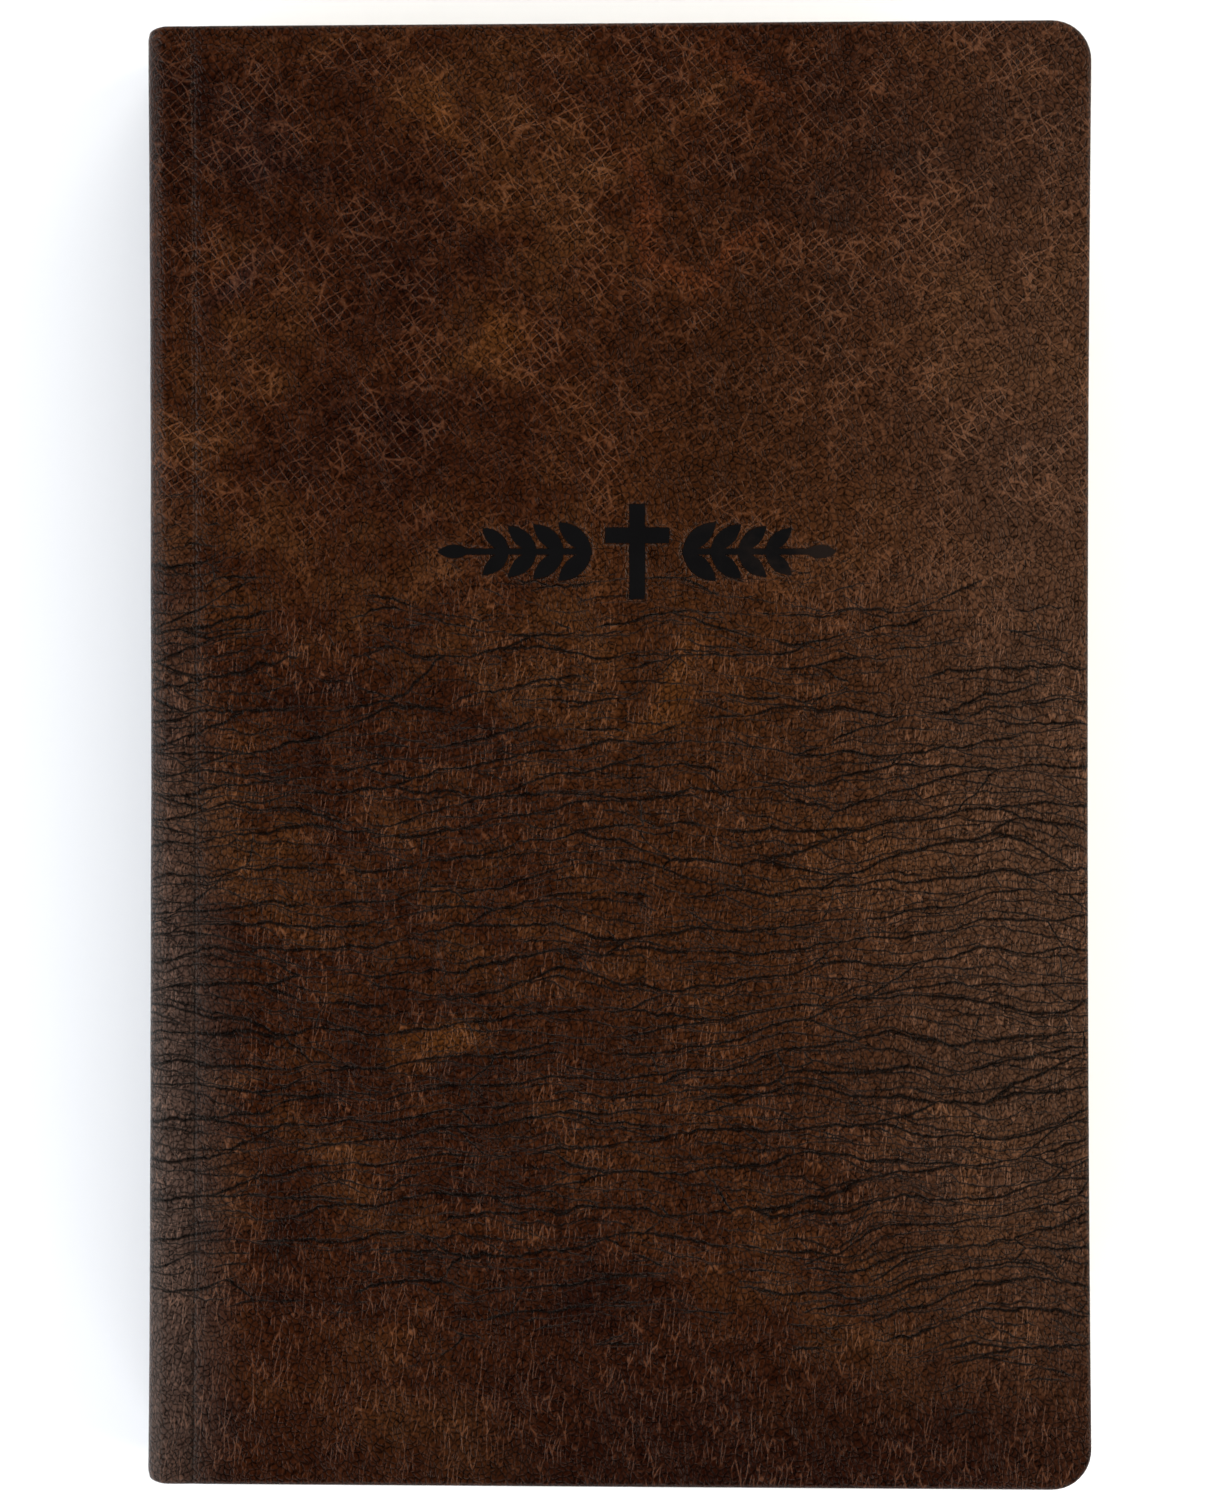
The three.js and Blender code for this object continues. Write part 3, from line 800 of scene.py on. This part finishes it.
def gathering(node, leaves=8):
    """One folded gathering: its leaves end a hair's breadth apart at the head, tail and fore edge."""
    low, high = box(node)
    mesh = nodes[node].data
    co = np.array([v.co for v in mesh.vertices]) / MM
    thick = high[2] - low[2]
    fold = thick / 2
    centre_x = low[0] + fold
    edge_low = co[co[:, 2] < low[2] + 0.01][:, 0].max()
    edge_high = co[co[:, 2] > high[2] - 0.01][:, 0].max()
    inset = np.array([0, 0.3, 0.9, 1.8, 2.9, LEAF_CORNER, 9, 24, 48, 74, 100])
    near_spine = inset[-1] + 8
    spread = spaced((-1, 1, 2 / 14))
    nu, nv = len(inset) + 4, len(spread)
    rows = []
    for leaf in range(leaves):
        shift = random.uniform(0, 0.13, 3) * (1, 0.8, 0.8)
        for part in (0.04, 0.96):
            share = (leaf + part) / leaves
            rows.append((low[2] + thick * share, *shift))
    rows[0] = (low[2], *rows[0][1:])
    rows[-1] = (high[2], *rows[-1][1:])
    points = []
    for z, back, head, tail in rows:
        share = (z - low[2]) / thick
        edge = edge_low + (edge_high - edge_low) * share - back
        start = centre_x - math.sqrt(max(fold**2 - (z - low[2] - fold) ** 2, 0))
        xs = np.concatenate([np.linspace(start, edge - near_spine, 4), (edge - inset)[::-1]])
        into = np.clip(xs - (edge - LEAF_CORNER), 0, LEAF_CORNER)
        half = LEAF_HEAD_Y - LEAF_CORNER + np.sqrt(LEAF_CORNER**2 - into**2)
        for x, h in zip(xs, half):
            points += [(x, v * (h - (head if v > 0 else tail)), z) for v in spread]
    each = nu * nv
    loop = [i * nv for i in range(nu)] + [(nu - 1) * nv + j for j in range(1, nv)]
    loop += [i * nv + nv - 1 for i in range(nu - 2, -1, -1)] + list(range(nv - 2, 0, -1))
    faces = []
    for i in range(nu - 1):
        for j in range(nv - 1):
            a = i * nv + j
            faces.append((a, a + 1, a + nv + 1, a + nv))
            top = a + (len(rows) - 1) * each
            faces.append((top, top + nv, top + nv + 1, top + 1))
    for k in range(len(rows) - 1):
        for a, b in zip(loop, loop[1:] + loop[:1]):
            faces.append((a + k * each, b + k * each, b + (k + 1) * each, a + (k + 1) * each))
    made = piece(node + "_leaves", points, faces, page_look, "page_paper", sharp=30, rest=points)
    # the two pages at the middle of the book are printed
    made.data.materials.append(printed_look)
    for face in made.data.polygons:
        if abs(face.normal.z) > 0.9 and abs(face.center.z - MIDDLE_Z * MM) < 0.04 * MM:
            face.material_index = 1
    return made


# ---- cover ----
press_step = 0.42
plain_step = 1.2
hinge_step = 0.12
PRESS_MARGIN = 1.2
press_from, press_to = press_low - PRESS_MARGIN, press_high + PRESS_MARGIN
shoulder = (
    (SEAM_S, SHOULDER_S, 0.75),
    (SHOULDER_S, SHOULDER_X, 0.36),
    (SHOULDER_X, JOINT_X - 1.6, 0.4),
)

columns = spaced(
    *shoulder,
    (JOINT_X - 1.6, JOINT_X + 2.2, hinge_step),
    (JOINT_X + 2.2, press_from[0], plain_step),
    (press_from[0], press_to[0], press_step),
    (press_to[0], CORNER_S, plain_step),
)
rows = spaced(
    (-CORNER_Q, press_from[1], plain_step),
    (press_from[1], press_to[1], press_step),
    (press_to[1], CORNER_Q, plain_step),
)
front = leather_sheet("front_leather", columns, rows, True, front_relief, coarse_from=-58)
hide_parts("front_cover_skin")
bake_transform(front)

plain_columns = spaced(
    *shoulder,
    (JOINT_X - 1.6, JOINT_X + 3.0, hinge_step * 1.3),
    (JOINT_X + 3.0, CORNER_S, plain_step * 1.6),
)
plain_rows = spaced((-CORNER_Q, CORNER_Q, plain_step * 1.6))
back = leather_sheet(
    "back_leather", plain_columns, plain_rows, True, cover_relief, coarse_from=-56, mirror=True
)
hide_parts("back_cover_skin")
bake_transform(back)

spine_columns = spaced(
    (2 * MIDDLE_S - SEAM_S, MIDDLE_S - 1.5, 0.9),
    (MIDDLE_S - 1.5, MIDDLE_S + 1.5, hinge_step),
    (MIDDLE_S + 1.5, SEAM_S, 0.9),
)
spine = leather_sheet("spine_leather", spine_columns, plain_rows, False, spine_relief)
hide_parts("front_spine_skin", "back_spine_skin")
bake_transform(spine)

# ---- endpapers ----
corner = leaf_corner(LEAF_FORE_X)
for side, zone in (("front", BEND_FRONT), ("back", BEND_BACK)):
    fold_x = box(f"{side}_endpaper_fold")[0][0]
    bend = spaced((fold_x, JOINT_X - 0.2, 0.9), (JOINT_X - 0.2, JOINT_X + zone + 0.2, 0.1))
    at = np.concatenate([bend, spaced((bend[-1], corner[0], 16))[1:], corner[1:]])
    for part, mate in (("pastedown", "cover"), ("flyleaf", "flyleaf")):
        low, high = box(f"{side}_{part}")
        name = f"{side}_{part}_sheet"
        sheet = thin_sheet(
            name, low[2], high[2], at, LEAF_HEAD_Y, LEAF_CORNER, endpaper_look, "endpaper"
        )
        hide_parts(f"{side}_{part}", f"{side}_endpaper_fold")
        z = high[2] * MM
        start, end = (JOINT_X * MM, 0, z), ((JOINT_X + zone) * MM, 0, z)
        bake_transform(sheet)

# ---- text block ----
for number in range(1, 25):
    node = f"signature_{number:02d}"
    leaves = gathering(node)
    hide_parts(node)
    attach(leaves, nodes[node]["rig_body"])

# In the middle lie two thin printed sheets by the gutter. In front it is a whole leaf.
# At the back it is the inner margin, which ends where the opened leaves lift to meet it.
CENTRE_LEAF = 0.015  # thickness
CENTRE_GAP = 0.004  # from the middle plane to each leaf
opening = next(j for j in frame["joints"] if j["name"] == "opening_hinge")
pivot_x = opening["pos_m"][0] / MM
gutter_x = SPINE_X + 0.95
curve_x = SPINE_X + 9.5
margin_x = pivot_x + 6.9
corner = leaf_corner(LEAF_FORE_X - SPINE_ROUND)
leaf_columns = spaced((gutter_x, curve_x, 0.35), (curve_x, corner[0], 16))
leaf_columns = np.concatenate([leaf_columns, corner[1:]])
margin_columns = spaced((gutter_x, margin_x, 0.35))
for name, at, low, rounding, sign in (
    ("front_centre_leaf", leaf_columns, MIDDLE_Z + CENTRE_GAP, LEAF_CORNER, 1),
    ("back_centre_margin", margin_columns, MIDDLE_Z - CENTRE_GAP - CENTRE_LEAF, 0.01, -1),
):
    leaf = thin_sheet(
        name, low, low + CENTRE_LEAF, at, LEAF_HEAD_Y - 0.1, rounding, printed_look, "page_paper"
    )
    reach = BEND_GUTTER * sign
    start = ((pivot_x - reach) * MM, 0, MIDDLE_Z * MM)
    end = ((pivot_x + reach) * MM, 0, MIDDLE_Z * MM)
    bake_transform(leaf)

# ---- the other pieces keep the frame's shape ----
LOOKS = {
    "emblem": foil_look,
    "board": card_look,
    "spine_inlay": card_look,
    "spine_lining": lining_look,
    "mull": mull_look,
    "spine_glue": glue_look,
    "head_band": band_look,
    "tail_band": band_look,
    "sewing_thread": linen_look,
}
for name, node in nodes.items():
    plain = name.removeprefix("front_").removeprefix("back_")
    for start, look in LOOKS.items():
        if plain.startswith(start):
            node.data.materials.clear()
            node.data.materials.append(look)

# ---- floor, light and camera ----
FLOOR_RADIUS = 1.05  # metres
FLOOR_Z = -0.06 * MM
turns = np.linspace(0, 2 * math.pi, 97)[:-1]
rim = [(FLOOR_RADIUS * math.cos(a), FLOOR_RADIUS * math.sin(a), FLOOR_Z) for a in turns]
floor_mesh = bpy.data.meshes.new("floor")
floor_mesh.from_pydata(rim, [], [tuple(range(len(rim)))])
floor = bpy.data.objects.new("floor", floor_mesh)
bpy.context.scene.collection.objects.link(floor)
PALE = (0.93, 0.93, 0.93, 1)
floor_look = material("pale_floor", lambda n: (PALE, 0.9, 0.0), Specular_IOR_Level=0.1)
floor.data.materials.append(floor_look)

world = bpy.data.worlds.new("studio")
world.use_nodes = True
bpy.context.scene.world = world
w = Nodes(world.node_tree)
rise = w.parts(w.make("TexCoord").outputs["Generated"])[2]
sky = w.ramp(rise, ((0.0, (0.86, 0.88, 0.92)), (0.22, (0.62, 0.63, 0.66)), (0.7, (0.05, 0.05, 0.053))))
background = w.make("Background", {"Color": sky, "Strength": 1.0})
w.make("OutputWorld", {0: background.outputs[0]})


def lamp(name, place, size, power, color):
    """A soft rectangle of light aimed at the book. place and size are in metres."""
    data = bpy.data.lights.new(name, "AREA")
    data.shape = "RECTANGLE"
    data.size, data.size_y = size
    data.energy = power
    data.color = color
    made = bpy.data.objects.new(name, data)
    made.location = place
    made.rotation_euler = (-made.location).to_track_quat("-Z", "Y").to_euler()
    bpy.context.scene.collection.objects.link(made)


lamp("right", (1.1, 0.1, 0.72), (1.3, 0.7), 17, (1.0, 0.965, 0.91))
lamp("left", (-1.1, -0.25, 0.66), (1.3, 0.7), 17, (0.86, 0.92, 1.0))
lamp("head", (0.1, 1.25, 0.75), (1.5, 0.7), 14, (1.0, 0.98, 0.95))
lamp("tail", (-0.1, -1.25, 0.72), (1.5, 0.7), 14, (0.97, 0.98, 1.0))

camera_data = bpy.data.cameras.new("camera")
camera = bpy.data.objects.new("camera", camera_data)
bpy.context.scene.collection.objects.link(camera)
bpy.context.scene.camera = camera
DISTANCE = 0.62  # metres from the cover, straight above it
FRAME_HEIGHT = 0.2211  # metres of the cover's plane that the picture's height takes in
SENSOR = 36
CENTRE = (-0.00074, 0.00074)  # metres; the point of the cover at the middle of the picture
camera_data.sensor_width = SENSOR
camera_data.lens = SENSOR * DISTANCE / FRAME_HEIGHT
camera.location = (*CENTRE, TOP_Z * MM + DISTANCE)
bpy.context.scene.view_settings.view_transform = "Standard"
